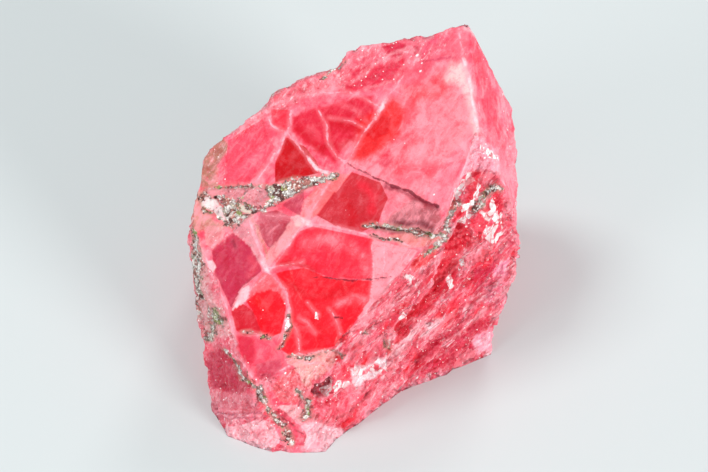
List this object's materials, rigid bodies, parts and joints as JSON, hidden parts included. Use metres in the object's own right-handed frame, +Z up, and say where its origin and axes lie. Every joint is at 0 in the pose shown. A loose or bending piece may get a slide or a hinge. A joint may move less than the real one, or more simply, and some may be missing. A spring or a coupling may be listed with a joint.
{
  "type": "rhodonite",
  "caption": "Rough cleavage fragment of pink rhodonite: a leaning flat front face, a stepped side, a foot lump and a flat face to rest on.",
  "frame": {"origin": "centre of the stone's bounding box, on the flat face it rests on", "axes": "+Z up from the resting face, -Y the way the large leaning cleavage face looks, +X to that viewer's right"},
  "size_m": [0.0258, 0.026, 0.0223],
  "materials": {
    "rhodonite": "glassy cleavage faces, rough broken sides, pale veins and grey-green metallic seams"
  },
  "bodies": {
    "root": {"rhodonite": "rhodonite"}
  },
  "joints": []
}
